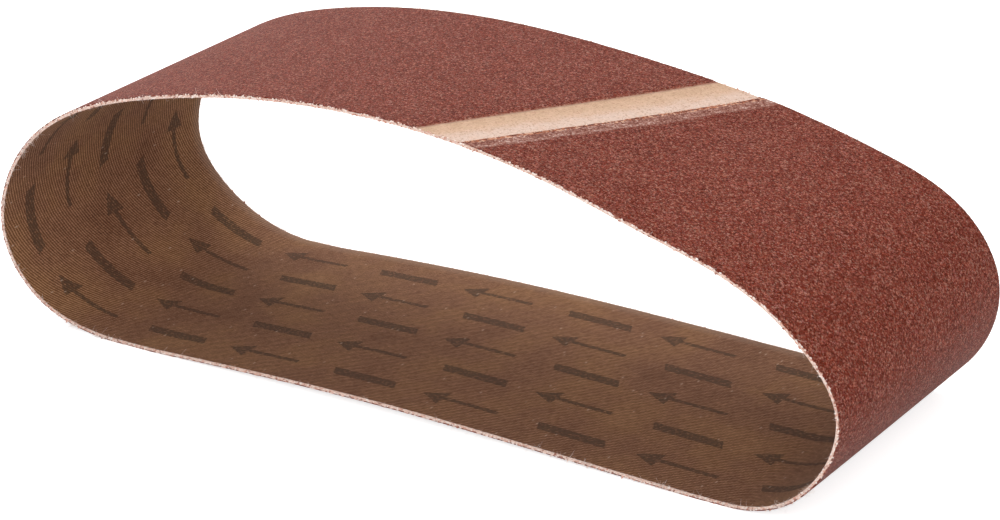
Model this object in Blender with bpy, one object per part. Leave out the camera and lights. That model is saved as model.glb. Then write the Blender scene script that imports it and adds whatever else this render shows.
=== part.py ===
"""A cloth-backed sanding belt for a hand-held belt sander, relaxed and lying on its lower run.

The belt is one strip of cloth whose ends are ground thin, lapped and glued, with a coat of grit on its outer
face. The frame: +X runs along the loop towards its tighter end, +Y across the belt's width, +Z up. The origin is
on the ground under the middle of the loop. Seen from the front, the belt is followed clockwise: from the middle
of the lower run to the left, up round the left nose, along the top run and down round the right nose.
"""

import math

import bmesh
import bpy
import numpy as np

MM = 0.001

# The strip that the belt is made from. Its length is taken where the cloth and the coat meet.
BELT_LENGTH = 533 * MM
BELT_WIDTH = 75 * MM
CLOTH_THICKNESS = 0.6 * MM
COAT_THICKNESS = 0.3 * MM

# The lap joint. The strip's first end lies on top, and its cut edge shows. Its last end lies under it, and is
# bare where it comes out. Widths are square to the cut edge. The station is the cut edge's place at mid width,
# measured along the belt from the middle of the lower run.
SPLICE_STATION = 310.2 * MM
SPLICE_ANGLE = math.radians(67.4)
BARE_BAND_WIDTH = 11.3 * MM
WORN_BAND_WIDTH = 4.5 * MM
LAP_WIDTH = 12 * MM
LAP_END_GAP = 0.3 * MM
ADHESIVE_THICKNESS = 0.12 * MM
GROUND_END_THICKNESS = 0.1 * MM
COAT_AT_CUT_EDGE = 0.14 * MM
GRINDING_RUN_OUT = 1.5 * MM

# Layers that are bonded face to face keep this much between them.
BOND_GAP = 0.01 * MM

# The outline of the coat's outer face at rest, in millimetres, as knots of a smooth closed curve. A pair is the
# distance in from the nose at its own end of the loop, and the height. The right-hand knots go on from the
# left-hand ones. The belt is a little skew, so that its back edge has knots of its own.
FRONT_LEFT = ((51.3, 0.4), (30.2, 0.4), (7.9, 7.9), (0.1, 20.3), (6.9, 43.1), (54.1, 67.3), (101.6, 73.3))
FRONT_RIGHT = (
    (66.4, 65.8), (48.4, 60.4), (21.8, 51.3), (5.6, 38.8), (0.1, 29.5), (13.5, 3.4), (36.0, 0.2), (58.0, 0.8)
)
BACK_LEFT = ((51.3, 0.4), (31.0, 0.7), (9.7, 10.0), (0.1, 23.1), (4.6, 42.2), (53.5, 68.0), (101.5, 71.7))
BACK_RIGHT = (
    (78.1, 66.4), (52.3, 61.8), (29.6, 55.5), (9.3, 45.7), (0.0, 29.5), (13.7, 3.4), (36.1, 0.2), (58.0, 0.8)
)
LOWER_RUN_RISE = 2.1 * MM

# How far the belt's weight flattens it where it stands.
SETTLE = 0.15 * MM

# How finely the solids follow the shape: no facet is longer than this, or turns further than this.
FACET_LENGTH = 4.5 * MM
FACET_TURN = math.radians(8)
STRIPS_ACROSS = 4
SPLINE_STEPS = 40
SPAN_TRIALS = 40
FINE_STEPS = 1000

# The mesh follows the slant of the splice beside it, and has lost the slant this much further on.
SLANT_FADE = 80 * MM

# The cloth's inner face, and how far the lap stands proud, as depths.
INNER_FACE = COAT_THICKNESS + CLOTH_THICKNESS
LAP_STANDS_PROUD = GROUND_END_THICKNESS + ADHESIVE_THICKNESS


def smooth_loop(knots):
    """Points along the closed curve through the knots whose bending changes smoothly all the way round."""
    count = len(knots)
    after = np.roll(knots, -1, axis=0)
    gap = np.hypot(*(after - knots).T)
    system = np.zeros((count, count))
    right_side = np.zeros((count, 2))
    for i in range(count):
        gap_before = gap[i - 1]
        system[i, i - 1] += gap_before
        system[i, i] += 2 * (gap_before + gap[i])
        system[i, (i + 1) % count] += gap[i]
        right_side[i] = 6 * ((after[i] - knots[i]) / gap[i] - (knots[i] - knots[i - 1]) / gap_before)
    bend = np.linalg.solve(system, right_side)
    t = np.linspace(0, 1, SPLINE_STEPS, endpoint=False)[:, None]
    stretches = []
    for i in range(count):
        sag = (1 - t) * (1 - (1 - t) ** 2) * bend[i] + t * (1 - t * t) * bend[(i + 1) % count]
        stretches.append((1 - t) * knots[i] + t * after[i] - gap[i] ** 2 / 6 * sag)
    return np.vstack(stretches)


def lengths_along(points):
    """The distance from the first point to each point, and last of all to the first point again."""
    steps = np.roll(points, -1, axis=0) - points
    return np.concatenate([[0.0], np.cumsum(np.hypot(*steps.T))])


def outer_length():
    """The length of the closed loop along the coat's outer face."""
    return BELT_LENGTH + 2 * math.pi * COAT_THICKNESS


def outline_with_span(left, right, span):
    left_knots = np.column_stack([left[:, 0] - span / 2, left[:, 1]])
    right_knots = np.column_stack([span / 2 - right[:, 0], right[:, 1]])
    return smooth_loop(np.vstack([[[0, LOWER_RUN_RISE]], left_knots, right_knots]))


def settled_outline(left, right):
    """The outline whose span from nose to nose uses up the belt's length, flattened where it stands."""
    shortest = left[:, 0].max() + right[:, 0].max()
    longest = outer_length() / 2
    for _ in range(SPAN_TRIALS):
        span = (shortest + longest) / 2
        if lengths_along(outline_with_span(left, right, span))[-1] < outer_length():
            shortest = span
        else:
            longest = span
    points = outline_with_span(left, right, span)
    points[:, 1] = np.maximum(points[:, 1] - points[:, 1].min() - SETTLE, 0)
    return points


class Row:
    """One line round the belt at a set place across its width."""

    def __init__(self, y):
        self.y = y
        across = y / BELT_WIDTH + 0.5
        left = (1 - across) * np.array(FRONT_LEFT) + across * np.array(BACK_LEFT)
        right = (1 - across) * np.array(FRONT_RIGHT) + across * np.array(BACK_RIGHT)
        points = settled_outline(left * MM, right * MM)
        lengths = lengths_along(points)
        run = np.roll(points, -1, axis=0) - np.roll(points, 1, axis=0)
        self.lengths = lengths * outer_length() / lengths[-1]
        self.points = np.vstack([points, points[:1]])
        self.runs = np.vstack([run, run[:1]])

    def station(self, along):
        """The distance from the middle of the lower run of a place that lies this far past the cut edge."""
        return (SPLICE_STATION + along + slant(along) * self.y / math.tan(SPLICE_ANGLE)) % outer_length()

    def at(self, along, depth):
        """The point this far past the cut edge along the belt, and this deep under the coat's outer face."""
        station = self.station(along)
        x, z = (np.interp(station, self.lengths, axis) for axis in self.points.T)
        run_x, run_z = (np.interp(station, self.lengths, axis) for axis in self.runs.T)
        inward = depth / math.hypot(run_x, run_z)
        return (x + inward * run_z, self.y, z - inward * run_x)


def along_belt(width):
    """A width that is square to the cut edge, as a distance along the belt."""
    return width / math.sin(SPLICE_ANGLE)


def slant(along):
    """How much of the splice's slant the mesh has here: all of it at the splice, and none far from it."""
    away = min(along % outer_length(), -along % outer_length())
    holds = along_belt(max(LAP_WIDTH + LAP_END_GAP, BARE_BAND_WIDTH + GRINDING_RUN_OUT))
    t = min(max((away - holds) / SLANT_FADE, 0), 1)
    return 1 - t * t * (3 - 2 * t)


def lap_stations():
    return [0, along_belt(WORN_BAND_WIDTH), along_belt(LAP_WIDTH)]


def bare_stations():
    return [-along_belt(BARE_BAND_WIDTH), -along_belt(BARE_BAND_WIDTH / 2)]


def open_stations(row):
    """Places from the end of the lap round to the ground stretch, closer together where the belt bends."""
    start = along_belt(LAP_WIDTH + LAP_END_GAP)
    end = outer_length() - along_belt(BARE_BAND_WIDTH + GRINDING_RUN_OUT)
    fine = np.linspace(start, end, FINE_STEPS)
    x, _, z = np.transpose([row.at(along, 0) for along in fine])
    headings = np.unwrap(np.arctan2(np.diff(z), np.diff(x)))
    turns = np.abs(np.diff(headings, prepend=headings[0]))
    facets = np.cumsum(turns / FACET_TURN + np.hypot(np.diff(x), np.diff(z)) / FACET_LENGTH)
    facets = np.concatenate([[0], facets])
    marks = np.linspace(0, facets[-1], math.ceil(facets[-1]) + 1)
    return [float(along) for along in np.interp(marks, facets, fine)]


def lower_end_depth(along):
    """The last end's ground face: full thickness at the cut edge, and thin at the end of the lap."""
    ground_away = (CLOTH_THICKNESS - GROUND_END_THICKNESS) * along / along_belt(LAP_WIDTH)
    return COAT_THICKNESS + max(ground_away, 0)


def film_depth(along):
    return lower_end_depth(along) - ADHESIVE_THICKNESS


def upper_end_depth(along):
    """The first end's outer face, which stands proud at the cut edge and is level at the end of the lap."""
    return COAT_THICKNESS - LAP_STANDS_PROUD * (1 - along / along_belt(LAP_WIDTH))


def cloth_section(row):
    """(along, outer depth, inner depth) from the cut edge, once round the belt and on under the lap."""
    section = [(along, upper_end_depth(along), film_depth(along) - BOND_GAP) for along in lap_stations()]
    section += [(along, COAT_THICKNESS, INNER_FACE) for along in open_stations(row)]
    section += [(along, COAT_THICKNESS, INNER_FACE) for along in bare_stations()]
    section += [(along, lower_end_depth(along), INNER_FACE) for along in lap_stations()]
    return section


def coat_section(row):
    """(along, outer depth, inner depth) from the cut edge round to where the coat is ground away."""
    growth = (COAT_THICKNESS - COAT_AT_CUT_EDGE) / along_belt(WORN_BAND_WIDTH)
    section = []
    for along in lap_stations():
        thickness = min(COAT_AT_CUT_EDGE + growth * along, COAT_THICKNESS)
        section.append((along, upper_end_depth(along) - thickness, upper_end_depth(along) - BOND_GAP))
    section += [(along, 0, COAT_THICKNESS - BOND_GAP) for along in open_stations(row)]
    beside_film = bare_stations()[0] - BOND_GAP
    section.append((beside_film, COAT_THICKNESS - ADHESIVE_THICKNESS, COAT_THICKNESS - BOND_GAP))
    return section


def adhesive_section():
    """(along, outer depth, inner depth) across the bare band and on between the two ends."""
    stations = bare_stations() + lap_stations()
    return [(along, film_depth(along), lower_end_depth(along) - BOND_GAP) for along in stations]


def add_cell(mesh, corners):
    """Two triangles between four corners, always split from the first corner to the third."""
    first, second, third, fourth = corners
    mesh.faces.new((first, second, third))
    mesh.faces.new((first, third, fourth))


def add_strip(name, section, rows, colour, roughness):
    """A layer of the belt: its section along the belt, carried across every row."""
    mesh = bmesh.new()
    outer = [[mesh.verts.new(row.at(along, depth)) for row in rows] for along, depth, _ in section]
    inner = [[mesh.verts.new(row.at(along, depth)) for row in rows] for along, _, depth in section]
    last_row = len(rows) - 1
    for i in range(len(section) - 1):
        for a in range(last_row):
            add_cell(mesh, (outer[i][a], outer[i + 1][a], outer[i + 1][a + 1], outer[i][a + 1]))
            add_cell(mesh, (inner[i][a], inner[i + 1][a], inner[i + 1][a + 1], inner[i][a + 1]))
        for edge in (0, last_row):
            add_cell(mesh, (outer[i][edge], outer[i + 1][edge], inner[i + 1][edge], inner[i][edge]))
    for end in (0, -1):
        for a in range(last_row):
            add_cell(mesh, (outer[end][a], outer[end][a + 1], inner[end][a + 1], inner[end][a]))
    bmesh.ops.recalc_face_normals(mesh, faces=mesh.faces)
    data = bpy.data.meshes.new(name)
    mesh.to_mesh(data)
    mesh.free()
    data.materials.append(make_material(name, colour, roughness))
    data.shade_smooth()
    data.set_sharp_from_angle(angle=math.radians(40))
    bpy.context.scene.collection.objects.link(bpy.data.objects.new(name, data))


def make_material(name, colour, roughness):
    material = bpy.data.materials.new(name)
    material.use_nodes = True
    shader = material.node_tree.nodes["Principled BSDF"]
    shader.inputs["Base Color"].default_value = (*colour, 1)
    shader.inputs["Roughness"].default_value = roughness
    shader.inputs["Metallic"].default_value = 0
    return material


def make_rows():
    """The rows from the front edge to the back edge, with the loop's middle over the origin."""
    rows = [Row(y) for y in np.linspace(-BELT_WIDTH / 2, BELT_WIDTH / 2, STRIPS_ACROSS + 1)]
    left_nose = min(row.points[:, 0].min() for row in rows)
    right_nose = max(row.points[:, 0].max() for row in rows)
    for row in rows:
        row.points[:, 0] -= (left_nose + right_nose) / 2
    return rows


def main():
    for old in list(bpy.data.objects):
        bpy.data.objects.remove(old)
    rows = make_rows()
    middle_row = rows[len(rows) // 2]
    add_strip("backing_cloth", cloth_section(middle_row), rows, (0.147, 0.095, 0.066), 0.85)
    add_strip("grit_coat", coat_section(middle_row), rows, (0.225, 0.078, 0.062), 0.9)
    add_strip("splice_adhesive", adhesive_section(), rows, (0.6, 0.42, 0.31), 0.6)


main()
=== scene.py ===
"""The looks of a relaxed sanding belt: its grit face, lap joint, inner face, cut edges and loose fibres.

Every fine mesh follows the outline that the solids were built on. Places on the belt are given as the
distance past the cut edge of the lap joint, the distance across the belt from its middle, and the depth
under the coat's outer face. They are kept on each mesh, in millimetres, for the materials to read.
"""

import math

import bpy
import numpy as np
from mathutils import Matrix, Vector

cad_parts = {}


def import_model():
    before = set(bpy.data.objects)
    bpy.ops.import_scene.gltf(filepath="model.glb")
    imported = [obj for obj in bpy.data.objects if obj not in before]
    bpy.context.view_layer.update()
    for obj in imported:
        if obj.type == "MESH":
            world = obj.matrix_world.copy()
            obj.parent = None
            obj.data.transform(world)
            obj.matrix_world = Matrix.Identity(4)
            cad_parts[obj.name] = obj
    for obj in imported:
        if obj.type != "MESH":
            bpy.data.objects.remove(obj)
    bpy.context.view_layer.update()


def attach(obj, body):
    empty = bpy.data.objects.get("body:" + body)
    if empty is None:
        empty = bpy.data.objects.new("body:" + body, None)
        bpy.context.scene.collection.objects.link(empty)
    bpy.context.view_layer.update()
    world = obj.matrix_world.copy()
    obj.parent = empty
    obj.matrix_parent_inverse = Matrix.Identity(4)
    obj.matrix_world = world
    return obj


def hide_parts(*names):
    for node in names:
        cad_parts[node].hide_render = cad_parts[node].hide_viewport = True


MM = 0.001

# The belt, as the solids have it.
BELT_LENGTH = 533 * MM
BELT_WIDTH = 75 * MM
CLOTH_THICKNESS = 0.6 * MM
COAT_THICKNESS = 0.3 * MM
SPLICE_STATION = 310.2 * MM
SPLICE_ANGLE = math.radians(67.4)
BARE_BAND_WIDTH = 11.3 * MM
WORN_BAND_WIDTH = 4.5 * MM
LAP_WIDTH = 12 * MM
LAP_END_GAP = 0.3 * MM
ADHESIVE_THICKNESS = 0.12 * MM
GROUND_END_THICKNESS = 0.1 * MM
COAT_AT_CUT_EDGE = 0.14 * MM
GRINDING_RUN_OUT = 1.5 * MM
BOND_GAP = 0.01 * MM
FRONT_LEFT = ((51.3, 0.4), (30.2, 0.4), (7.9, 7.9), (0.1, 20.3), (6.9, 43.1), (54.1, 67.3), (101.6, 73.3))
FRONT_RIGHT = (
    (66.4, 65.8), (48.4, 60.4), (21.8, 51.3), (5.6, 38.8), (0.1, 29.5), (13.5, 3.4), (36.0, 0.2), (58.0, 0.8)
)
BACK_LEFT = ((51.3, 0.4), (31.0, 0.7), (9.7, 10.0), (0.1, 23.1), (4.6, 42.2), (53.5, 68.0), (101.5, 71.7))
BACK_RIGHT = (
    (78.1, 66.4), (52.3, 61.8), (29.6, 55.5), (9.3, 45.7), (0.0, 29.5), (13.7, 3.4), (36.1, 0.2), (58.0, 0.8)
)
LOWER_RUN_RISE = 2.1 * MM
SETTLE = 0.15 * MM
ROWS = 5
SPLINE_STEPS = 40
SPAN_TRIALS = 40
SLANT_FADE = 80 * MM

OUTER_LENGTH = BELT_LENGTH + 2 * math.pi * COAT_THICKNESS
INNER_FACE = COAT_THICKNESS + CLOTH_THICKNESS
LAP_STANDS_PROUD = GROUND_END_THICKNESS + ADHESIVE_THICKNESS

# The photograph's camera.
CAMERA_PLACE = Vector((0.3615, -0.4913, 0.2735))
CAMERA_AZIMUTH = math.radians(35.76)
CAMERA_ELEVATION = math.radians(22.195)
CAMERA_ROLL = math.radians(-2.5)
CAMERA_LENS = 100.3
SENSOR_WIDTH = 36
CAMERA_CLIP = (0.05, 20)


def smooth_loop(knots):
    """Points along the closed curve through the knots whose bending changes smoothly all the way round."""
    count = len(knots)
    after = np.roll(knots, -1, axis=0)
    gap = np.hypot(*(after - knots).T)
    system = np.zeros((count, count))
    right_side = np.zeros((count, 2))
    for i in range(count):
        gap_before = gap[i - 1]
        system[i, i - 1] += gap_before
        system[i, i] += 2 * (gap_before + gap[i])
        system[i, (i + 1) % count] += gap[i]
        right_side[i] = 6 * ((after[i] - knots[i]) / gap[i] - (knots[i] - knots[i - 1]) / gap_before)
    bend = np.linalg.solve(system, right_side)
    t = np.linspace(0, 1, SPLINE_STEPS, endpoint=False)[:, None]
    stretches = []
    for i in range(count):
        sag = (1 - t) * (1 - (1 - t) ** 2) * bend[i] + t * (1 - t * t) * bend[(i + 1) % count]
        stretches.append((1 - t) * knots[i] + t * after[i] - gap[i] ** 2 / 6 * sag)
    return np.vstack(stretches)


def lengths_along(points):
    """The distance from the first point to each point, and last of all to the first point again."""
    steps = np.roll(points, -1, axis=0) - points
    return np.concatenate([[0.0], np.cumsum(np.hypot(*steps.T))])


def outline_with_span(left, right, span):
    left_knots = np.column_stack([left[:, 0] - span / 2, left[:, 1]])
    right_knots = np.column_stack([span / 2 - right[:, 0], right[:, 1]])
    return smooth_loop(np.vstack([[[0, LOWER_RUN_RISE]], left_knots, right_knots]))


def settled_outline(left, right):
    """The outline whose span from nose to nose uses up the belt's length, flattened where it stands."""
    shortest = left[:, 0].max() + right[:, 0].max()
    longest = OUTER_LENGTH / 2
    for _ in range(SPAN_TRIALS):
        span = (shortest + longest) / 2
        if lengths_along(outline_with_span(left, right, span))[-1] < OUTER_LENGTH:
            shortest = span
        else:
            longest = span
    points = outline_with_span(left, right, span)
    points[:, 1] = np.maximum(points[:, 1] - points[:, 1].min() - SETTLE, 0)
    return points


class Row:
    """One line round the belt at a set share of the way across it, as tables along its length."""

    def __init__(self, across):
        left = (1 - across) * np.array(FRONT_LEFT) + across * np.array(BACK_LEFT)
        right = (1 - across) * np.array(FRONT_RIGHT) + across * np.array(BACK_RIGHT)
        points = settled_outline(left * MM, right * MM)
        lengths = lengths_along(points)
        run = np.roll(points, -1, axis=0) - np.roll(points, 1, axis=0)
        run /= np.hypot(*run.T)[:, None]
        self.lengths = lengths * OUTER_LENGTH / lengths[-1]
        self.points = np.vstack([points, points[:1]])
        self.inward = np.vstack([run, run[:1]])[:, ::-1] * (1, -1)

    def at(self, station, depth):
        x, z, across, up = (
            np.interp(station, self.lengths, table) for table in (*self.points.T, *self.inward.T)
        )
        return np.stack([x + depth * across, z + depth * up], axis=-1)


def make_rows():
    """The rows from the front edge to the back edge, with the loop's middle over the origin."""
    rows = [Row(across) for across in np.linspace(0, 1, ROWS)]
    left_nose = min(row.points[:, 0].min() for row in rows)
    right_nose = max(row.points[:, 0].max() for row in rows)
    for row in rows:
        row.points[:, 0] -= (left_nose + right_nose) / 2
    return rows


def along_belt(width):
    """A width that is square to the cut edge, as a distance along the belt."""
    return width / math.sin(SPLICE_ANGLE)


BARE_START = OUTER_LENGTH - along_belt(BARE_BAND_WIDTH)
LAP_END = along_belt(LAP_WIDTH)


def slant(along):
    """How much of the splice's slant the mesh has here: all of it at the splice, and none far from it."""
    away = np.minimum(along % OUTER_LENGTH, -along % OUTER_LENGTH)
    holds = along_belt(max(LAP_WIDTH + LAP_END_GAP, BARE_BAND_WIDTH + GRINDING_RUN_OUT))
    t = np.clip((away - holds) / SLANT_FADE, 0, 1)
    return 1 - t * t * (3 - 2 * t)


def station_of(along, y):
    """The distance from the middle of the lower run, not taken back to nought after a whole turn."""
    return SPLICE_STATION + along + slant(along) * y / math.tan(SPLICE_ANGLE)


def on_belt(rows, along, y, depth):
    """Points in space for places on the belt, each given as arrays. y may lie a little past the cut edges."""
    along, y, depth = np.broadcast_arrays(along, y, depth)
    station = station_of(along, y) % OUTER_LENGTH
    place = np.clip(y / BELT_WIDTH + 0.5, 0, 1) * (ROWS - 1)
    profile = np.zeros(along.shape + (2,))
    for i, row in enumerate(rows):
        share = np.clip(1 - np.abs(place - i), 0, 1)
        profile += share[..., None] * row.at(station, depth)
    return np.stack([profile[..., 0], y, profile[..., 1]], axis=-1)


# Depths of each layer's two faces, as tables over the distance past the cut edge.
RUN_OUT_START = OUTER_LENGTH - along_belt(BARE_BAND_WIDTH + GRINDING_RUN_OUT)
OPEN_START = along_belt(LAP_WIDTH + LAP_END_GAP)
WORN_END = along_belt(WORN_BAND_WIDTH)
GROUND_DEPTH = CLOTH_THICKNESS - GROUND_END_THICKNESS


def lower_end_depth(along):
    return COAT_THICKNESS + np.maximum(GROUND_DEPTH * along / LAP_END, 0)


def upper_end_depth(along):
    return COAT_THICKNESS - LAP_STANDS_PROUD * np.maximum(1 - along / LAP_END, 0)


def film_depth(along):
    return lower_end_depth(along) - ADHESIVE_THICKNESS


def cloth_depths(along):
    """The cloth's outer and inner faces, from the cut edge once round the belt and on under the lap."""
    lap_inner = film_depth(np.array([0, LAP_END])) - BOND_GAP
    outer = np.where(along < OUTER_LENGTH, upper_end_depth(along), lower_end_depth(along - OUTER_LENGTH))
    inner = np.interp(along, (0, LAP_END, OPEN_START), (*lap_inner, INNER_FACE))
    return outer, inner


def coat_depths(along):
    """The coat's outer and inner faces, from the cut edge round to where it is ground away."""
    cloth_face = upper_end_depth(along)
    marks = (0, WORN_END, RUN_OUT_START, BARE_START)
    values = (COAT_AT_CUT_EDGE, COAT_THICKNESS, COAT_THICKNESS, ADHESIVE_THICKNESS)
    thickness = np.interp(along, marks, values)
    return cloth_face - thickness, cloth_face - BOND_GAP


def film_depths(along):
    return film_depth(along), lower_end_depth(along) - BOND_GAP


def add_object(name, data):
    made = bpy.data.objects.new(name, data)
    bpy.context.scene.collection.objects.link(made)
    return made


def keep_on_points(mesh, name, values):
    """Stores a number or a vector for each point of the mesh, for its material to read."""
    kind, field = ("FLOAT", "value") if values.ndim == 1 else ("FLOAT_VECTOR", "vector")
    stored = mesh.attributes.new(name, kind, "POINT")
    stored.data.foreach_set(field, values.astype(np.float32).ravel())


def belt_piece(name, points, faces, along, y, depth):
    """A smooth mesh object whose points carry their place on the belt, in millimetres, for its material."""
    mesh = bpy.data.meshes.new(name)
    mesh.from_pydata(points.reshape(-1, 3), [], faces.tolist())
    along, y, depth = (np.broadcast_to(values, points.shape[:-1]).ravel() for values in (along, y, depth))
    keep_on_points(mesh, "place", np.stack([along, y, depth], axis=-1) / MM)
    keep_on_points(mesh, "lay", np.stack([station_of(along, y), y, depth], axis=-1) / MM)
    mesh.shade_smooth()
    return add_object(name, mesh)


def strip_faces(sections, columns):
    """Quads round a closed strip: an outer grid of points, then an inner grid of as many."""
    outer = np.arange(sections * columns).reshape(sections, columns)
    inner = outer + sections * columns

    def quads(first, second, third, fourth):
        return np.stack([first, second, third, fourth], axis=-1).reshape(-1, 4)

    return np.vstack([
        quads(outer[:-1, :-1], outer[1:, :-1], outer[1:, 1:], outer[:-1, 1:]),
        quads(inner[:-1, 1:], inner[1:, 1:], inner[1:, :-1], inner[:-1, :-1]),
        quads(inner[:-1, 0], inner[1:, 0], outer[1:, 0], outer[:-1, 0]),
        quads(outer[:-1, -1], outer[1:, -1], inner[1:, -1], inner[:-1, -1]),
        quads(inner[0, :-1], outer[0, :-1], outer[0, 1:], inner[0, 1:]),
        quads(outer[-1, :-1], inner[-1, :-1], inner[-1, 1:], outer[-1, 1:]),
    ])


def draw(limits, shape, random, power=1):
    """Random values between two limits. The higher the power, the more of them lie near the first."""
    return limits[0] + (limits[1] - limits[0]) * random.uniform(0, 1, shape) ** power


SHARP_ANGLE = math.radians(50)


def strip(name, rows, along, columns, depths, rim_wear, end_wear, random):
    """One layer of the belt. Its rims and its two ends are a little ragged, by the wear that is given."""
    worn = draw((0, rim_wear), (len(along), 2), random, power=3)
    y = np.tile(np.linspace(-BELT_WIDTH / 2, BELT_WIDTH / 2, columns), (len(along), 1))
    y[:, 0] += worn[:, 0]
    y[:, -1] -= worn[:, 1]
    alongs = np.tile(along[:, None], (1, columns))
    alongs[0] += random.uniform(-end_wear[0], end_wear[0], columns)
    alongs[-1] += random.uniform(-end_wear[1], end_wear[1], columns)
    depth = np.stack(depths(along))[:, :, None]
    points = on_belt(rows, alongs, y, depth)
    piece = belt_piece(name, points, strip_faces(len(along), columns), alongs, y, depth)
    piece.data.set_sharp_from_angle(angle=SHARP_ANGLE)
    return piece


def spread(start, end, step):
    """Evenly spaced places from start to end, about a step apart."""
    return np.linspace(start, end, math.ceil((end - start) / step) + 1)


def circle(sides):
    turn = np.arange(sides) * 2 * math.pi / sides
    return np.cos(turn), np.sin(turn)


def tube_faces(rings, sides):
    """Triangles round an open tube whose points lie ring by ring."""
    faces = []
    for low in range(0, (rings - 1) * sides, sides):
        high = low + sides
        for side in range(sides):
            after = (side + 1) % sides
            faces.append((low + side, low + after, high + after))
            faces.append((low + side, high + after, high + side))
    return faces


def bits(name, points, faces, spots, tints):
    """One mesh of many like bits, from the points of each, the faces of one, and a tint for each."""
    count, size = points.shape[:2]
    all_faces = (np.arange(count)[:, None, None] * size + faces).reshape(-1, 3)
    piece = belt_piece(name, points, all_faces, *spots)
    keep_on_points(piece.data, "tint", np.repeat(tints, size))
    return piece


# The rings of a broken yarn end, as (radius, height) pairs, before it takes on its own size.
STUB_RINGS = ((0.9, -0.6), (1.0, 0.0), (0.85, 0.5), (0.4, 0.9))
STUB_SIDES = 5
STUB_ROUGHNESS = 0.3
STUB_LEAN = 0.35


def stub():
    """A broken yarn end along +Z, closed by a tip at each end: its points and its faces."""
    sides = list(zip(*circle(STUB_SIDES)))
    points = [(radius * x, radius * y, height) for radius, height in STUB_RINGS for x, y in sides]
    low_tip = len(points)
    high_tip = low_tip + 1
    top = low_tip - STUB_SIDES
    points += [(0, 0, STUB_RINGS[0][1]), (0, 0, STUB_RINGS[-1][1])]
    faces = tube_faces(len(STUB_RINGS), STUB_SIDES)
    for side in range(STUB_SIDES):
        after = (side + 1) % STUB_SIDES
        faces.append((low_tip, after, side))
        faces.append((high_tip, top + side, top + after))
    return np.array(points), np.array(faces)


def tufts(name, rows, along, y, depth, size, outward, random):
    """Broken yarn ends at places on the belt. Each is a stub that leans at random, in a tint of its own.

    Size holds each stub's half width along the belt, its half thickness, and how far it stands out. Outward
    is the direction, as a step in (along, y), in which it stands out.
    """
    unit, faces = stub()
    count = len(along)
    half_width, half_thickness, stand_out = (values[:, None] for values in size)
    rough = 1 + random.uniform(-STUB_ROUGHNESS, STUB_ROUGHNESS, (count, len(unit)))
    lean = random.normal(0, STUB_LEAN, (count, 2, 1))
    height = unit[:, 2] * stand_out
    out = np.maximum(height, 0)
    beside = unit[:, 0] * half_width * rough + lean[:, 0] * out
    through = unit[:, 1] * half_thickness * rough + lean[:, 1] * out
    spots = (
        along[:, None] + beside * abs(outward[1]) + height * outward[0],
        y[:, None] + height * outward[1] - beside * outward[0],
        depth[:, None] + through,
    )
    return bits(name, on_belt(rows, *spots), faces, spots, random.uniform(0, 1, count))


# The frayed yarn ends along the cut edges.
TUFT_PITCH = 0.3 * MM
TUFT_SCATTER = 0.4
TUFT_LAYERS = (0.2 * MM, 0.45 * MM, 0.72 * MM)
TUFT_LAYER_SPREAD = 0.05 * MM
TUFT_HALF_WIDTH = (0.16 * MM, 0.34 * MM)
TUFT_HALF_THICKNESS = (0.13 * MM, 0.24 * MM)
TUFT_STAND_OUT = (0.08 * MM, 0.5 * MM)


def edge_tufts(name, rows, side, random):
    """The frayed yarn ends along one cut edge, in uneven layers through the belt's thickness."""
    count = int(OUTER_LENGTH / TUFT_PITCH)
    along = (np.arange(count) + random.uniform(-TUFT_SCATTER, TUFT_SCATTER, count)) * TUFT_PITCH
    depth = random.choice(TUFT_LAYERS, count) + random.normal(0, TUFT_LAYER_SPREAD, count)
    size = (
        draw(TUFT_HALF_WIDTH, count, random),
        draw(TUFT_HALF_THICKNESS, count, random),
        draw(TUFT_STAND_OUT, count, random, power=2),
    )
    y = np.full(count, side * BELT_WIDTH / 2)
    return tufts(name, rows, along, y, depth, size, (0, side), random)


# The yarn ends that stick out of the cut end beside the bare band.
CUT_END_PITCH = 0.28 * MM
CUT_END_SCATTER = (-0.04 * MM, 0.06 * MM)
CUT_END_DEPTH = 0.12 * MM
CUT_END_DEPTH_SPREAD = 0.02 * MM
CUT_END_HALF_WIDTH = (0.08 * MM, 0.2 * MM)
CUT_END_HALF_THICKNESS = (0.03 * MM, 0.07 * MM)
CUT_END_STAND_OUT = (0.02 * MM, 0.55 * MM)


def cut_end_tufts(name, rows, random):
    count = int(BELT_WIDTH / CUT_END_PITCH)
    y = (np.arange(count) + 0.5 - count / 2) * CUT_END_PITCH
    size = (
        draw(CUT_END_HALF_WIDTH, count, random),
        draw(CUT_END_HALF_THICKNESS, count, random),
        draw(CUT_END_STAND_OUT, count, random, power=2.5),
    )
    along = draw(CUT_END_SCATTER, count, random)
    depth = CUT_END_DEPTH + random.normal(0, CUT_END_DEPTH_SPREAD, count)
    return tufts(name, rows, along, y, depth, size, (-1, 0), random)


# The loose fibres: thin tubes, each with its root a little inside the cut edge.
FIBRES_ON_AN_EDGE = 2400
FIBRE_LENGTH = (0.3 * MM, 1.2 * MM)
FIBRE_RADIUS = (0.02 * MM, 0.042 * MM)
FIBRE_TIP_SHARE = 0.5
FIBRE_TINT = (0, 0.6)
FIBRE_STEPS = 6
FIBRE_SIDES = 3
ROOT_INSET = 0.1 * MM
ROOT_DEPTH = (0.15 * MM, 0.85 * MM)
# A fibre's direction: how far it heads outward, leans, curls, and turns back, as shares of its length.
HEADS_OUT = 0.9
LEAN_SPREAD = 0.6
LEAN_LIMIT = 1.2
CURL_SPREAD = 1.0
CURL_LIMIT = 1.6
TURNS_BACK = 0.6
CURL_WEIGHT = 0.8
# A direction that no fibre runs along.
SKEW_DIRECTION = (0.31, 0.17, 0.94)
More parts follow.
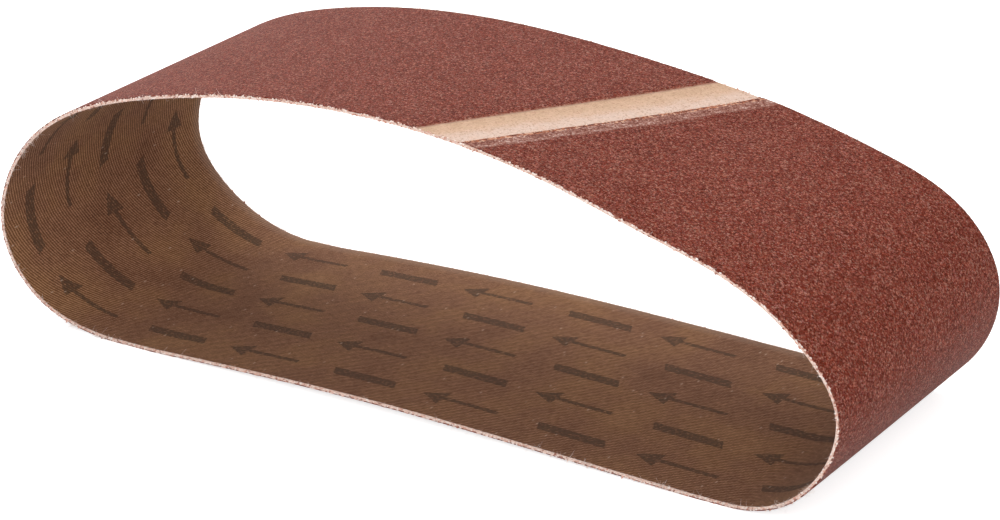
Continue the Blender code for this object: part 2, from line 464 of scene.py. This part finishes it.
# Where the edge is most frayed, as stations along the belt, and how far each frayed stretch reaches.
FRAYED_STATIONS = (95 * MM, 150 * MM, 455 * MM)
FRAYED_REACH = 28 * MM
# Most loose fibres stand in small clusters, each leaning its own way.
CLUSTERS = 90
CLUSTER_REACH = 0.7 * MM
SHARE_IN_CLUSTERS = 0.65


def fibre_roots(count, random):
    """Where along the belt each loose fibre starts, and the lean that it shares with its cluster."""
    centres = random.choice(FRAYED_STATIONS, CLUSTERS) + random.normal(0, FRAYED_REACH, CLUSTERS)
    cluster_lean = random.normal(0, LEAN_SPREAD, (CLUSTERS, 2))
    cluster = random.integers(0, CLUSTERS, count)
    clustered = centres[cluster] + random.normal(0, CLUSTER_REACH, count)
    in_cluster = random.uniform(0, 1, count) < SHARE_IN_CLUSTERS
    station = np.where(in_cluster, clustered, random.uniform(0, OUTER_LENGTH, count))
    return (station - SPLICE_STATION) % OUTER_LENGTH, cluster_lean[cluster] * in_cluster[:, None]


def fibre_paths(side, count, random):
    """The places along each loose fibre of one cut edge, as along, y and depth, and each fibre's radius."""
    start, shared_lean = fibre_roots(count, random)
    length = draw(FIBRE_LENGTH, count, random, power=2.5)
    radius = draw(FIBRE_RADIUS, count, random)
    lean = np.clip(random.normal(0, LEAN_SPREAD, (count, 2)) + shared_lean, -LEAN_LIMIT, LEAN_LIMIT)
    heading = np.stack([lean[:, 0], np.full(count, HEADS_OUT), lean[:, 1]], axis=-1)
    curl = np.clip(random.normal(0, CURL_SPREAD, (count, 3)), -CURL_LIMIT, CURL_LIMIT) - (0, TURNS_BACK, 0)
    t = np.linspace(0, 1, FIBRE_STEPS)[:, None]
    path = heading[:, None] * t + curl[:, None] * (t * t) * CURL_WEIGHT
    path *= length[:, None, None]
    along = start[:, None] + path[..., 0]
    y = side * (BELT_WIDTH / 2 - ROOT_INSET + path[..., 1])
    depth = draw(ROOT_DEPTH, count, random)[:, None] + path[..., 2]
    return (along, y, depth), radius


def tubes(lines, radius):
    """Rings of points round each line, narrower towards its tip, with none below the ground."""
    run = np.gradient(lines, axis=1)
    run /= np.linalg.norm(run, axis=-1, keepdims=True)
    beside = np.cross(run, SKEW_DIRECTION)
    beside /= np.linalg.norm(beside, axis=-1, keepdims=True)
    above = np.cross(run, beside)
    cosine, sine = circle(FIBRE_SIDES)
    around = cosine[:, None] * beside[:, :, None] + sine[:, None] * above[:, :, None]
    taper = radius[:, None, None, None] * np.linspace(1, FIBRE_TIP_SHARE, FIBRE_STEPS)[:, None, None]
    points = lines[:, :, None] + taper * around
    points[..., 2] = np.maximum(points[..., 2], 0)
    return points


def fibres(name, rows, side, random):
    """Loose fibres along one cut edge: thin closed tubes that leave it at random and curl away."""
    count = FIBRES_ON_AN_EDGE
    spots, radius = fibre_paths(side, count, random)
    points = tubes(on_belt(rows, *spots), radius)
    spots = [np.repeat(values, FIBRE_SIDES, axis=-1) for values in spots]
    # A fibre has three sides, so one triangle closes each of its ends.
    tip = (FIBRE_STEPS - 1) * FIBRE_SIDES
    ends = [(2, 1, 0), (tip, tip + 1, tip + 2)]
    faces = np.array(tube_faces(FIBRE_STEPS, FIBRE_SIDES) + ends)
    return bits(name, points.reshape(count, -1, 3), faces, spots, draw(FIBRE_TINT, count, random))


def make_camera():
    across = Vector((math.cos(CAMERA_AZIMUTH), math.sin(CAMERA_AZIMUTH), 0))
    forward = Vector((
        -math.sin(CAMERA_AZIMUTH) * math.cos(CAMERA_ELEVATION),
        math.cos(CAMERA_AZIMUTH) * math.cos(CAMERA_ELEVATION),
        -math.sin(CAMERA_ELEVATION),
    ))
    up = across.cross(forward)
    right = math.cos(CAMERA_ROLL) * across + math.sin(CAMERA_ROLL) * up
    up = right.cross(forward)
    data = bpy.data.cameras.new("camera")
    data.lens = CAMERA_LENS
    data.sensor_width = SENSOR_WIDTH
    data.sensor_fit = "HORIZONTAL"
    data.clip_start, data.clip_end = CAMERA_CLIP
    camera = add_object("camera", data)
    turn = Matrix((right, up, -forward)).transposed().to_4x4()
    camera.matrix_world = Matrix.Translation(CAMERA_PLACE) @ turn
    bpy.context.scene.camera = camera


def paint(red, green, blue):
    """A colour as it should look, from 0 to 255, as the linear colour that Blender takes."""
    def linear(value):
        value /= 255
        return value / 12.92 if value <= 0.04045 else ((value + 0.055) / 1.055) ** 2.4

    return (linear(red), linear(green), linear(blue), 1)


class Finish:
    """One material, built by short calls that each add a node and return the socket with its result."""

    def __init__(self, name):
        self.material = bpy.data.materials.new(name)
        self.material.use_nodes = True
        self.tree = self.material.node_tree
        self.shader = self.tree.nodes["Principled BSDF"]

    def feed(self, socket, value):
        if isinstance(value, bpy.types.NodeSocket):
            self.tree.links.new(value, socket)
        else:
            socket.default_value = value

    def node(self, kind, inputs=(), **settings):
        """A new node with its settings, and with its inputs fed by number or by name."""
        node = self.tree.nodes.new(kind)
        for setting, value in settings.items():
            setattr(node, setting, value)
        for key, value in dict(inputs).items():
            self.feed(node.inputs[key], value)
        return node

    def math(self, operation, *values):
        return self.node("ShaderNodeMath", enumerate(values), operation=operation).outputs[0]

    def total(self, first, *others):
        for other in others:
            first = self.math("ADD", first, other)
        return first

    def times(self, first, second):
        return self.math("MULTIPLY", first, second)

    def swing(self, value, middle, weight):
        """How far a value is past its middle, times a weight."""
        return self.times(self.math("SUBTRACT", value, middle), weight)

    def inverse(self, value):
        return self.math("SUBTRACT", 1.0, value)

    def ease(self, value, start, end):
        """From 0 at start to 1 at end, smoothly."""
        inputs = enumerate((value, start, end))
        return self.node("ShaderNodeMapRange", inputs, interpolation_type="SMOOTHSTEP").outputs[0]

    def mix(self, share, first, second, blend="MIX"):
        """The first colour where share is 0, and the second, or what it makes of the first, where it is 1."""
        # This node takes its share at input 0 and its colours at 6 and 7, and gives a colour at output 2.
        inputs = {0: share, 6: first, 7: second}
        return self.node("ShaderNodeMix", inputs, data_type="RGBA", blend_type=blend).outputs[2]

    def cover(self, colour, mask, strength, second):
        """The colour, with a second one over it where the mask is 1, at the strength that is given."""
        return self.mix(self.times(mask, strength), colour, second)

    def ramp(self, value, *stops):
        """Colours by value, from (place, colour) stops."""
        node = self.node("ShaderNodeValToRGB", {0: value})
        elements = node.color_ramp.elements
        for place, _ in stops[2:]:
            elements.new(place)
        for element, (place, colour) in zip(elements, stops):
            element.position = place
            element.color = colour
        return node.outputs[0]

    def stored(self, name, output="Vector"):
        """What the mesh keeps on its points under this name."""
        node = self.node("ShaderNodeAttribute", attribute_type="GEOMETRY", attribute_name=name)
        return node.outputs[output]

    def parts(self, vector):
        return self.node("ShaderNodeSeparateXYZ", {0: vector}).outputs[:]

    def stretch(self, vector, along, across):
        inputs = {0: vector, 1: (along, across, 1)}
        return self.node("ShaderNodeVectorMath", inputs, operation="MULTIPLY").outputs[0]

    def noise(self, vector, per_mm, detail=2.0, roughness=0.5):
        """Soft random patches, from 0 to 1, as many to a millimetre as is given."""
        inputs = {"Vector": vector, "Scale": per_mm, "Detail": detail, "Roughness": roughness}
        return self.node("ShaderNodeTexNoise", inputs).outputs[0]

    def cells(self, vector, per_mm):
        """The distance from the middle of the nearest cell, in cells, and a random number for each cell."""
        node = self.node("ShaderNodeTexVoronoi", {"Vector": vector, "Scale": per_mm})
        return node.outputs["Distance"], self.parts(node.outputs["Color"])[0]

    def bump(self, height, distance, strength):
        inputs = {"Height": height, "Distance": distance, "Strength": strength}
        return self.node("ShaderNodeBump", inputs).outputs[0]

    def set(self, **inputs):
        for name, value in inputs.items():
            self.feed(self.shader.inputs[name.replace("_", " ")], value)


# Sizes for the materials, in millimetres: the edge's place across the belt, and the others along it.
EDGE_LINE = BELT_WIDTH / 2 / MM
BAND_WIDTH = along_belt(BARE_BAND_WIDTH) / MM
WORN_LINE = WORN_END / MM
WORN_FADE = (WORN_LINE - 0.9, WORN_LINE + 0.1)
RIDGE_FADE = (WORN_LINE - 2.2, WORN_LINE - 0.8)
RUN_OUT_FADE = (RUN_OUT_START / MM + 0.6, BARE_START / MM)
CRUMB_LINE = 0.25


def with_rim_crumbs(finish, colour, place):
    """The colour, under crumbs of rusty coat along the cut edge of the lap."""
    tone = finish.cells(place, per_mm=2.0)[1]
    off_line = finish.math("ABSOLUTE", finish.math("SUBTRACT", finish.parts(place)[0], CRUMB_LINE))
    reach = finish.total(0.25, finish.times(tone, 0.95))
    shows = finish.ease(finish.math("SUBTRACT", reach, off_line), -0.15, 0.15)
    crumbs = finish.ramp(
        tone,
        (0.2, paint(92, 40, 26)),
        (0.5, paint(150, 80, 54)),
        (0.75, paint(196, 124, 90)),
        (0.95, paint(234, 190, 164)),
    )
    return finish.cover(colour, shows, 0.9, crumbs)


def worn_grit(finish, place, hue_tone, fine_tone):
    """The scuffed strip beside the lap's end: how much of it shows at a place, and its colour."""
    scratch = finish.noise(finish.stretch(place, 1.0, 0.42), per_mm=2.2, detail=3.0, roughness=0.75)
    patch = finish.noise(finish.stretch(place, 1.0, 0.5), per_mm=0.3)
    along = finish.parts(place)[0]
    ragged = finish.total(along, finish.swing(scratch, 0.5, 5.0), finish.swing(patch, 0.5, 4.0))
    rubbed = finish.total(
        finish.times(hue_tone, 0.55),
        finish.times(fine_tone, 0.25),
        finish.swing(scratch, 0.47, 1.2),
        finish.swing(patch, 0.55, 0.8),
        finish.times(finish.ease(ragged, *RIDGE_FADE), 0.1),
    )
    colour = finish.ramp(
        rubbed,
        (0.15, paint(112, 56, 44)),
        (0.42, paint(154, 102, 88)),
        (0.68, paint(184, 138, 124)),
        (0.95, paint(242, 218, 206)),
    )
    return finish.inverse(finish.ease(ragged, *WORN_FADE)), colour


def grain_colour(finish, lay, tones, clump):
    """Dark resin between brick-red grains, from each point's coarse, fine and hue tones."""
    coarse_tone, fine_tone, hue_tone = tones
    blotch = finish.noise(lay, per_mm=0.09, detail=3.0, roughness=0.55)
    tone = finish.total(
        finish.times(coarse_tone, 0.5),
        finish.times(fine_tone, 0.42),
        finish.swing(clump, 0.5, 0.32),
        finish.swing(blotch, 0.5, 0.14),
    )
    colour = finish.ramp(
        tone,
        (0.05, paint(79, 24, 13)),
        (0.38, paint(116, 50, 36)),
        (0.6, paint(143, 75, 60)),
        (0.88, paint(191, 138, 121)),
    )
    hue = finish.ramp(
        hue_tone,
        (0.0, paint(255, 190, 172)),
        (0.35, paint(255, 244, 232)),
        (0.7, paint(218, 248, 250)),
        (1.0, paint(255, 224, 250)),
    )
    return finish.mix(0.8, colour, hue, "MULTIPLY")


def grit_finish():
    """The coat: brick-red grit with a scuffed strip, crumbs and a ground end beside the lap joint."""
    finish = Finish("grit")
    lay = finish.stored("lay")
    place = finish.stored("place")
    coarse_distance, coarse_tone = finish.cells(lay, per_mm=2.6)
    fine_distance, fine_tone = finish.cells(lay, per_mm=5.0)
    hue_tone = finish.cells(lay, per_mm=2.9)[1]
    clump = finish.noise(lay, per_mm=1.1, roughness=0.6)
    colour = grain_colour(finish, lay, (coarse_tone, fine_tone, hue_tone), clump)
    worn, worn_colour = worn_grit(finish, place, hue_tone, fine_tone)
    colour = finish.mix(worn, colour, worn_colour)
    colour = with_rim_crumbs(finish, colour, place)
    along = finish.parts(place)[0]
    run_out = finish.times(finish.ease(along, *RUN_OUT_FADE), finish.ease(clump, 0.35, 0.6))
    colour = finish.cover(colour, run_out, 0.6, paint(176, 128, 104))
    bulk = finish.times(finish.inverse(coarse_distance), coarse_tone)
    sharp = finish.times(finish.inverse(fine_distance), 0.5)
    finish.set(
        Base_Color=colour,
        Roughness=0.8,
        Specular_IOR_Level=0.03,
        Sheen_Weight=0.18,
        Sheen_Roughness=0.25,
        Normal=finish.bump(finish.total(bulk, sharp), distance=0.16 * MM, strength=1.0),
    )
    return finish.material


def film_finish():
    """Peach adhesive over ground cloth: tan beside the coat, paler to the cut edge, with brown specks."""
    finish = Finish("peach_adhesive")
    lay = finish.stored("lay")
    place = finish.stored("place")
    along = finish.parts(place)[0]
    streak = finish.noise(finish.stretch(lay, 1, 0.35), per_mm=0.6, detail=4.0, roughness=0.65)
    blush = finish.noise(lay, per_mm=0.35, detail=3.0, roughness=0.6)
    fine = finish.noise(lay, per_mm=3.2, detail=3.0, roughness=0.8)
    grain = finish.cells(lay, per_mm=3.0)[1]
    colour = finish.ramp(
        finish.ease(finish.total(along, finish.swing(streak, 0.5, 5.0)), -BAND_WIDTH, 0),
        (0.0, paint(197, 160, 128)),
        (0.35, paint(210, 174, 145)),
        (0.6, paint(216, 184, 162)),
        (0.8, paint(224, 197, 182)),
        (1.0, paint(226, 200, 186)),
    )
    # Painted shade: a soft brown line on the film along its edge beside the coat.
    past_coat = finish.total(along, BAND_WIDTH, finish.swing(streak, 0.5, 1.2))
    painted_coat_shadow = finish.inverse(finish.ease(past_coat, 0.1, 1.1))
    colour = finish.cover(colour, painted_coat_shadow, 0.85, paint(150, 104, 82))
    colour = finish.cover(colour, finish.ease(blush, 0.4, 0.65), 0.3, paint(228, 186, 160))
    mottle = finish.ramp(
        grain,
        (0.0, paint(232, 226, 220)),
        (0.5, paint(248, 246, 244)),
        (1.0, paint(255, 255, 255)),
    )
    colour = finish.mix(1.0, colour, mottle, "MULTIPLY")
    specks = finish.ease(finish.inverse(grain), 0.9, 0.93)
    colour = finish.cover(colour, specks, 0.38, paint(160, 108, 80))
    colour = finish.cover(colour, finish.ease(fine, 0.42, 0.62), 0.26, paint(186, 146, 118))
    colour = with_rim_crumbs(finish, colour, place)
    finish.set(Base_Color=colour, Roughness=0.7, Normal=finish.bump(fine, distance=0.04 * MM, strength=0.6))
    return finish.material


# The weave's two waves, in cycles for each millimetre along the belt and across it.
WEFT_CYCLES = (1.6, 0.0)
RIB_CYCLES = (0.44, 1.21)


def wave(finish, lay, cycles, drift):
    """A cosine from -1 to 1 over the belt."""
    turns = [finish.times(part, 2 * math.pi * rate) for part, rate in zip(finish.parts(lay), cycles)]
    return finish.math("COSINE", finish.total(*turns, drift))


def woven_height(finish, lay):
    """The height of the weave, from 0 to 1: weft yarns across the belt, and ribs along it at a slant."""
    drift = finish.total(
        finish.times(finish.noise(lay, per_mm=0.25), 4.0),
        finish.times(finish.noise(lay, per_mm=1.1, detail=1.0), 2.4),
    )
    warp_slub = finish.noise(finish.stretch(lay, 0.35, 3.0), per_mm=1.2, roughness=0.6)
    weft_slub = finish.noise(finish.stretch(lay, 3.0, 0.35), per_mm=1.2, roughness=0.6)
    return finish.total(
        finish.times(wave(finish, lay, WEFT_CYCLES, drift), 0.05),
        finish.times(wave(finish, lay, RIB_CYCLES, drift), 0.24),
        finish.swing(finish.total(warp_slub, weft_slub), 1.0, 0.5),
        0.5,
    )


# The ink marks, in millimetres: rows along the belt, each a row of arrows and bars.
MARK_ROW_PITCH = 13.8
MARK_REPEAT = 58.0
MARK_ROW_SHIFT = 22.0
ARROW_START = 2.0
ARROW_NECK = 17.0
ARROW_TIP = 23.0
ARROW_HALF_SHAFT = 0.7
ARROW_HALF_HEAD = 3.2
BAR_START = 31.0
BAR_END = 49.0
BAR_HALF_HEIGHT = 1.6
BAR_LEAN = 0.5
INK_WANDER = 0.8
INK_WANDERS_PER_MM = 2.2


def printed_marks(finish, lay):
    """Plain arrows and slant-ended bars in rows along the belt: 1 where there is ink, and 0 elsewhere."""
    wander = finish.node("ShaderNodeTexNoise", {"Vector": lay, "Scale": INK_WANDERS_PER_MM})
    inputs = {0: wander.outputs["Color"], 1: (INK_WANDER, INK_WANDER, 0), 2: lay}
    shaken = finish.node("ShaderNodeVectorMath", inputs, operation="MULTIPLY_ADD").outputs[0]
    station, across, _ = finish.parts(shaken)
    row = finish.math("ROUND", finish.math("DIVIDE", across, MARK_ROW_PITCH))
    beside = finish.math("SUBTRACT", across, finish.times(row, MARK_ROW_PITCH))
    shifted = finish.total(station, finish.times(row, MARK_ROW_SHIFT))
    place = finish.math("FLOORED_MODULO", shifted, MARK_REPEAT)
    off_line = finish.math("ABSOLUTE", beside)

    def bounded(value, start, end, half_height):
        past_start = finish.math("GREATER_THAN", value, start)
        inside = finish.times(past_start, finish.math("LESS_THAN", value, end))
        return finish.times(inside, finish.math("LESS_THAN", off_line, half_height))

    slope = ARROW_HALF_HEAD / (ARROW_TIP - ARROW_NECK)
    head_half = finish.times(finish.math("SUBTRACT", ARROW_TIP, place), slope)
    head = bounded(place, ARROW_NECK, ARROW_TIP, head_half)
    shaft = bounded(place, ARROW_START, ARROW_NECK, ARROW_HALF_SHAFT)
    leaning = finish.math("SUBTRACT", place, finish.times(beside, BAR_LEAN))
    bar = bounded(leaning, BAR_START, BAR_END, BAR_HALF_HEIGHT)
    return finish.math("MAXIMUM", finish.math("MAXIMUM", shaft, head), bar)


def with_painted_highlights(finish, colour, lay, across, smear):
    """The colour, with painted highlights: pale flecks on yarn tops, and light from behind beside the back
    edge.
    """
    # Painted highlights: sparse pale flecks that stand in for light caught on the tops of yarns.
    fleck_distance, fleck_tone = finish.cells(finish.stretch(lay, 1, 0.4), per_mm=1.2)
    flecks = finish.times(finish.ease(fleck_tone, 0.965, 0.97), finish.ease(fleck_distance, 0.34, 0.12))
    colour = finish.cover(colour, flecks, 0.5, paint(206, 178, 156))
    # Painted highlight: the cloth turns paler beside the back edge, where light from behind falls on it.
    painted_back_light = finish.ease(finish.total(across, finish.times(smear, 2.0)), EDGE_LINE - 3, EDGE_LINE + 1)
    return finish.cover(colour, painted_back_light, 0.34, paint(170, 144, 128))


def with_cut_yarns(finish, colour, across, fine):
    """The colour, but the pale inside of cut yarns at the belt's two edges."""
    frayed = finish.total(finish.math("ABSOLUTE", across), finish.times(fine, 0.5))
    pale = finish.ramp(
        fine,
        (0.3, paint(196, 142, 122)),
        (0.5, paint(232, 204, 190)),
        (0.7, paint(248, 232, 222)),
    )
    return finish.mix(finish.ease(frayed, EDGE_LINE + 0.02, EDGE_LINE + 0.16), colour, pale)


def cloth_finish():
    """Brown sized cloth: woven ribs, painted highlights, and worn marks of dark ink in rows."""
    finish = Finish("sized_cloth")
    lay = finish.stored("lay")
    across = finish.parts(finish.stored("place"))[1]
    weave = woven_height(finish, lay)
    fine = finish.noise(lay, per_mm=4.0, roughness=0.6)
    smear = finish.noise(lay, per_mm=1.2, detail=3.0, roughness=0.7)
    blotch = finish.noise(lay, per_mm=0.045, detail=3.0, roughness=0.6)
    tone = finish.total(finish.times(weave, 0.75), finish.times(fine, 0.35), finish.swing(blotch, 0.5, 0.45))
    colour = finish.ramp(
        tone,
        (0.2, paint(74, 43, 29)),
        (0.55, paint(127, 87, 63)),
        (0.85, paint(184, 138, 109)),
    )
    olive = finish.mix(1.0, colour, paint(246, 246, 230), "MULTIPLY")
    colour = finish.mix(finish.ease(blotch, 0.4, 0.65), colour, olive)
    soak = finish.times(finish.ease(tone, 0.15, 0.55), finish.ease(smear, 0.25, 0.55))
    colour = finish.cover(colour, finish.times(printed_marks(finish, lay), soak), 0.76, paint(64, 51, 41))
    colour = with_painted_highlights(finish, colour, lay, across, smear)
    finish.set(
        Base_Color=with_cut_yarns(finish, colour, across, fine),
        Roughness=0.9,
        Specular_IOR_Level=0.12,
        Sheen_Weight=0.03,
        Normal=finish.bump(weave, distance=0.1 * MM, strength=0.9),
    )
    return finish.material


def yarn_end_finish():
    """Broken yarn ends: mostly pinkish white, some stained salmon or brown by the resin."""
    finish = Finish("yarn_ends")
    lint = finish.noise(finish.stored("lay"), per_mm=7.0, roughness=0.7)
    colour = finish.ramp(
        finish.stored("tint", "Fac"),
        (0.0, paint(253, 243, 237)),
        (0.45, paint(246, 222, 210)),
        (0.72, paint(224, 170, 150)),
        (1.0, paint(146, 84, 64)),
    )
    colour = finish.cover(colour, finish.ease(lint, 0.45, 0.7), 0.35, paint(200, 148, 130))
    finish.set(
        Base_Color=colour,
        Roughness=0.95,
        Sheen_Weight=0.2,
        Normal=finish.bump(lint, distance=0.05 * MM, strength=1.0),
    )
    return finish.material


def dress(piece, material, slot, *nodes):
    piece.data.materials.append(material)
    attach(piece, "root")
    if nodes:
        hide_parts(*nodes)


SEED = 533
LAYER_STEP = 0.5 * MM
LAYER_COLUMNS = 29
FILM_STEP = 0.4 * MM
FILM_COLUMNS = 101
COAT_RIM_WEAR = 0.12 * MM
COAT_CUT_END_WEAR = 0.15 * MM
CLOTH_RIM_WEAR = 0.08 * MM


def make_pieces():
    random = np.random.default_rng(SEED)
    rows = make_rows()
    lap_run = spread(0, LAP_END, LAYER_STEP)
    cloth_run = spread(OPEN_START, OUTER_LENGTH, LAYER_STEP)
    coat_run = spread(OPEN_START, BARE_START - BOND_GAP, LAYER_STEP)
    band_run = spread(-along_belt(BARE_BAND_WIDTH), 0, FILM_STEP)
    grit = strip(
        "grit_face", rows, np.concatenate([lap_run, coat_run]),
        LAYER_COLUMNS, coat_depths, COAT_RIM_WEAR, (COAT_CUT_END_WEAR, 0), random,
    )
    cloth = strip(
        "woven_cloth", rows, np.concatenate([lap_run, cloth_run, OUTER_LENGTH + lap_run[1:]]),
        LAYER_COLUMNS, cloth_depths, CLOTH_RIM_WEAR, (0, 0), random,
    )
    film = strip(
        "splice_film", rows, np.concatenate([band_run[:-1], lap_run]),
        FILM_COLUMNS, film_depths, 0, (0, 0), random,
    )
    loose = (
        edge_tufts("yarn_ends_front", rows, -1, random),
        edge_tufts("yarn_ends_back", rows, 1, random),
        cut_end_tufts("yarn_ends_at_lap", rows, random),
        fibres("loose_fibres_front", rows, -1, random),
        fibres("loose_fibres_back", rows, 1, random),
    )
    yarn_ends = yarn_end_finish()
    dress(grit, grit_finish(), "grit_coat", "grit_coat")
    dress(cloth, cloth_finish(), "backing_cloth", "backing_cloth")
    dress(film, film_finish(), "splice_adhesive", "splice_adhesive")
    for piece in loose:
        dress(piece, yarn_ends, "backing_cloth")


FLOOR_SIZE = 6
FLOOR_GLOW = 0.72
SKY_LIGHT = 0.55
SKY_SEEN = 1.0
# Each lamp's name, place in metres, width in metres and power in watts.
LAMPS = (
    ("key", (-0.9, 0.5, 1.3), 0.9, 16),
    ("fill", (0.7, -1.2, 0.7), 1.2, 13),
)


def seen_directly(tree):
    """1 for a ray that the camera sees by, also off gloss or through glass, and 0 for light on its way."""
    rays = tree.nodes.new("ShaderNodeLightPath")
    seen = rays.outputs["Is Camera Ray"]
    for ray in ("Is Glossy Ray", "Is Transmission Ray"):
        either = tree.nodes.new("ShaderNodeMath")
        either.operation = "MAXIMUM"
        tree.links.new(seen, either.inputs[0])
        tree.links.new(rays.outputs[ray], either.inputs[1])
        seen = either.outputs[0]
    return seen


def make_floor():
    """A white floor. The camera sees it all but white, and it still takes the belt's shadow."""
    data = bpy.data.meshes.new("floor")
    half = FLOOR_SIZE / 2
    corners = [(-half, -half, 0), (half, -half, 0), (half, half, 0), (-half, half, 0)]
    data.from_pydata(corners, [], [(0, 1, 2, 3)])
    floor = add_object("floor", data)
    finish = Finish("white_floor")
    finish.set(Base_Color=(0.8, 0.8, 0.8, 1), Roughness=0.9, Specular_IOR_Level=0)
    matt = finish.shader.outputs[0]
    glow = finish.node("ShaderNodeEmission", {"Strength": FLOOR_GLOW}).outputs[0]
    both = finish.node("ShaderNodeAddShader", {0: matt, 1: glow}).outputs[0]
    shaders = {0: seen_directly(finish.tree), 1: matt, 2: both}
    choice = finish.node("ShaderNodeMixShader", shaders).outputs[0]
    finish.feed(finish.tree.nodes["Material Output"].inputs["Surface"], choice)
    data.materials.append(finish.material)


def make_lamp(name, place, width, power):
    data = bpy.data.lights.new(name, "AREA")
    data.shape = "SQUARE"
    data.size = width
    data.energy = power
    lamp = add_object(name, data)
    lamp.location = place
    lamp.rotation_euler = (-Vector(place)).to_track_quat("-Z", "Y").to_euler()


def make_world():
    """Plain white air that lights evenly, and is white where it is seen."""
    world = bpy.data.worlds.new("studio")
    world.use_nodes = True
    tree = world.node_tree
    strength = tree.nodes.new("ShaderNodeMapRange")
    tree.links.new(seen_directly(tree), strength.inputs["Value"])
    strength.inputs["To Min"].default_value = SKY_LIGHT
    strength.inputs["To Max"].default_value = SKY_SEEN
    sky = tree.nodes["Background"]
    sky.inputs["Color"].default_value = (1, 1, 1, 1)
    tree.links.new(strength.outputs[0], sky.inputs["Strength"])
    bpy.context.scene.world = world


def main():
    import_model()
    make_camera()
    make_pieces()
    make_floor()
    make_world()
    for lamp in LAMPS:
        make_lamp(*lamp)
    bpy.context.scene.view_settings.view_transform = "Standard"


main()
